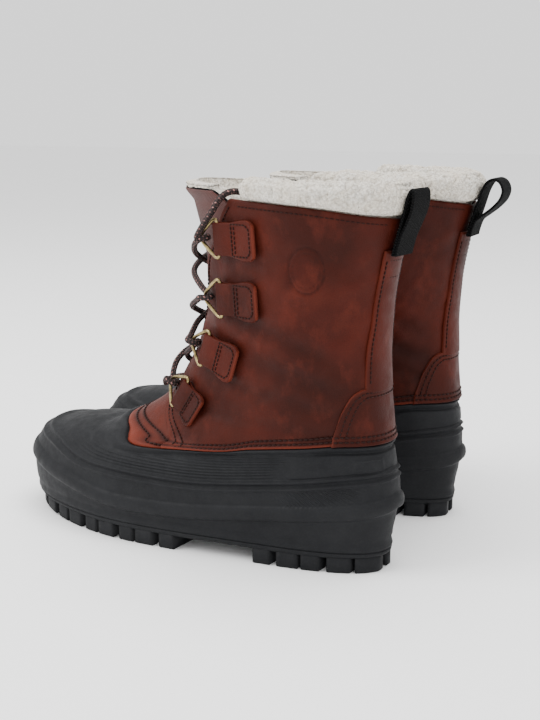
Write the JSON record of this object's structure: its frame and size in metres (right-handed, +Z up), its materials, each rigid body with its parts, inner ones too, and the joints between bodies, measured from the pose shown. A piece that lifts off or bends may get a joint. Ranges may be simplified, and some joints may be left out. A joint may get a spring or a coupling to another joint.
{
  "type": "insulated hunting boots",
  "caption": "Pair of lace-up winter boots with moulded rubber bottoms, leather legs, ring lacing, removable footbeds and fleece collars.",
  "frame": {"origin": "on the floor, at the middle of the pair seen from above", "axes": "+Z up, toes towards -Y, the left boot at +X"},
  "size_m": [0.2338, 0.3386, 0.2602],
  "materials": {
    "rubber": "matte moulded, charcoal black",
    "leather": "oiled pull-up leather, red brown",
    "tongue_cloth": "ribbed woven cloth, red brown",
    "fleece": "curly fleece, cream",
    "felt": "pressed felt, grey",
    "webbing": "woven polyester webbing, black",
    "brass": "antique brass wire",
    "lace_cord": "round braided cord, dark brown with light flecks"
  },
  "bodies": {
    "left_boot": {"left_outsole": "rubber", "left_shell": "rubber", "left_footbed": "felt", "left_felt_lining": "felt", "left_fleece_collar": "fleece", "left_vamp": "leather", "left_quarter_outer": "leather", "left_quarter_inner": "leather", "left_heel_counter": "leather", "left_backstay": "leather", "left_pull_loop": "webbing", "left_lace": "lace_cord", "left_tab_outer_1": "leather", "left_tab_outer_2": "leather", "left_tab_outer_3": "leather", "left_tab_outer_4": "leather", "left_tab_inner_1": "leather", "left_tab_inner_2": "leather", "left_tab_inner_3": "leather", "left_tab_inner_4": "leather"},
    "right_boot": {"right_outsole": "rubber", "right_shell": "rubber", "right_footbed": "felt", "right_felt_lining": "felt", "right_fleece_collar": "fleece", "right_vamp": "leather", "right_quarter_outer": "leather", "right_quarter_inner": "leather", "right_heel_counter": "leather", "right_backstay": "leather", "right_pull_loop": "webbing", "right_lace": "lace_cord", "right_tab_outer_1": "leather", "right_tab_outer_2": "leather", "right_tab_outer_3": "leather", "right_tab_outer_4": "leather", "right_tab_inner_1": "leather", "right_tab_inner_2": "leather", "right_tab_inner_3": "leather", "right_tab_inner_4": "leather"},
    "left_tongue": {"left_tongue": "tongue_cloth", "left_tongue_lining": "fleece"},
    "left_ring_outer_1": {"left_ring_outer_1": "brass"},
    "left_ring_outer_2": {"left_ring_outer_2": "brass"},
    "left_ring_outer_3": {"left_ring_outer_3": "brass"},
    "left_ring_outer_4": {"left_ring_outer_4": "brass"},
    "left_ring_inner_1": {"left_ring_inner_1": "brass"},
    "left_ring_inner_2": {"left_ring_inner_2": "brass"},
    "left_ring_inner_3": {"left_ring_inner_3": "brass"},
    "left_ring_inner_4": {"left_ring_inner_4": "brass"},
    "right_tongue": {"right_tongue": "tongue_cloth", "right_tongue_lining": "fleece"},
    "right_ring_outer_1": {"right_ring_outer_1": "brass"},
    "right_ring_outer_2": {"right_ring_outer_2": "brass"},
    "right_ring_outer_3": {"right_ring_outer_3": "brass"},
    "right_ring_outer_4": {"right_ring_outer_4": "brass"},
    "right_ring_inner_1": {"right_ring_inner_1": "brass"},
    "right_ring_inner_2": {"right_ring_inner_2": "brass"},
    "right_ring_inner_3": {"right_ring_inner_3": "brass"},
    "right_ring_inner_4": {"right_ring_inner_4": "brass"}
  },
  "joints": [
    {"name": "right_boot_apart", "type": "slide", "parent": "left_boot", "child": "right_boot", "axis": [-1, 0, 0], "range_m": [0, 0.3]},
    {"name": "left_tongue_lean", "type": "hinge", "parent": "left_boot", "child": "left_tongue", "pos_m": [0.05582, -0.03623, 0.1], "axis": [-0.998, 0.0628, 0], "range_deg": [0, 3]},
    {"name": "left_ring_outer_1_swing", "type": "hinge", "parent": "left_boot", "child": "left_ring_outer_1", "pos_m": [0.10537, 0.03114, 0.22156], "axis": [0.087, -0.0287, 0.9958], "range_deg": [-1.4, 1.4]},
    {"name": "left_ring_outer_2_swing", "type": "hinge", "parent": "left_boot", "child": "left_ring_outer_2", "pos_m": [0.10111, 0.03026, 0.18165], "axis": [0.0685, -0.0252, 0.9973], "range_deg": [-1.4, 1.4]},
    {"name": "left_ring_outer_3_swing", "type": "hinge", "parent": "left_boot", "child": "left_ring_outer_3", "pos_m": [0.09409, 0.01338, 0.14471], "axis": [-0.0257, 0.2801, 0.9596], "range_deg": [-1.4, 1.4]},
    {"name": "left_ring_outer_4_swing", "type": "hinge", "parent": "left_boot", "child": "left_ring_outer_4", "pos_m": [0.09072, -0.0096, 0.11027], "axis": [0.0171, 0.5497, 0.8352], "range_deg": [-1.4, 1.4]},
    {"name": "left_ring_inner_1_swing", "type": "hinge", "parent": "left_boot", "child": "left_ring_inner_1", "pos_m": [0.01511, 0.03682, 0.22156], "axis": [-0.09, -0.0175, 0.9958], "range_deg": [-1.4, 1.4]},
    {"name": "left_ring_inner_2_swing", "type": "hinge", "parent": "left_boot", "child": "left_ring_inner_2", "pos_m": [0.01923, 0.03541, 0.18165], "axis": [-0.0711, -0.0164, 0.9973], "range_deg": [-1.4, 1.4]},
    {"name": "left_ring_inner_3_swing", "type": "hinge", "parent": "left_boot", "child": "left_ring_inner_3", "pos_m": [0.02431, 0.01779, 0.14451], "axis": [0.023, 0.2617, 0.9649], "range_deg": [-1.4, 1.4]},
    {"name": "left_ring_inner_4_swing", "type": "hinge", "parent": "left_boot", "child": "left_ring_inner_4", "pos_m": [0.02483, -0.0052, 0.11014], "axis": [0.0616, 0.5369, 0.8414], "range_deg": [-1.4, 1.4]},
    {"name": "right_tongue_lean", "type": "hinge", "parent": "right_boot", "child": "right_tongue", "pos_m": [-0.05582, -0.03623, 0.1], "axis": [-0.998, -0.0628, 0], "range_deg": [0, 3]},
    {"name": "right_ring_outer_1_swing", "type": "hinge", "parent": "right_boot", "child": "right_ring_outer_1", "pos_m": [-0.10537, 0.03114, 0.22156], "axis": [-0.087, -0.0287, 0.9958], "range_deg": [-1.4, 1.4]},
    {"name": "right_ring_outer_2_swing", "type": "hinge", "parent": "right_boot", "child": "right_ring_outer_2", "pos_m": [-0.10111, 0.03026, 0.18165], "axis": [-0.0685, -0.0252, 0.9973], "range_deg": [-1.4, 1.4]},
    {"name": "right_ring_outer_3_swing", "type": "hinge", "parent": "right_boot", "child": "right_ring_outer_3", "pos_m": [-0.09409, 0.01338, 0.14471], "axis": [0.0257, 0.2801, 0.9596], "range_deg": [-1.4, 1.4]},
    {"name": "right_ring_outer_4_swing", "type": "hinge", "parent": "right_boot", "child": "right_ring_outer_4", "pos_m": [-0.09072, -0.0096, 0.11027], "axis": [-0.0171, 0.5497, 0.8352], "range_deg": [-1.4, 1.4]},
    {"name": "right_ring_inner_1_swing", "type": "hinge", "parent": "right_boot", "child": "right_ring_inner_1", "pos_m": [-0.01511, 0.03682, 0.22156], "axis": [0.09, -0.0175, 0.9958], "range_deg": [-1.4, 1.4]},
    {"name": "right_ring_inner_2_swing", "type": "hinge", "parent": "right_boot", "child": "right_ring_inner_2", "pos_m": [-0.01923, 0.03541, 0.18165], "axis": [0.0711, -0.0164, 0.9973], "range_deg": [-1.4, 1.4]},
    {"name": "right_ring_inner_3_swing", "type": "hinge", "parent": "right_boot", "child": "right_ring_inner_3", "pos_m": [-0.02431, 0.01779, 0.14451], "axis": [-0.023, 0.2617, 0.9649], "range_deg": [-1.4, 1.4]},
    {"name": "right_ring_inner_4_swing", "type": "hinge", "parent": "right_boot", "child": "right_ring_inner_4", "pos_m": [-0.02483, -0.0052, 0.11014], "axis": [-0.0616, 0.5369, 0.8414], "range_deg": [-1.4, 1.4]}
  ]
}
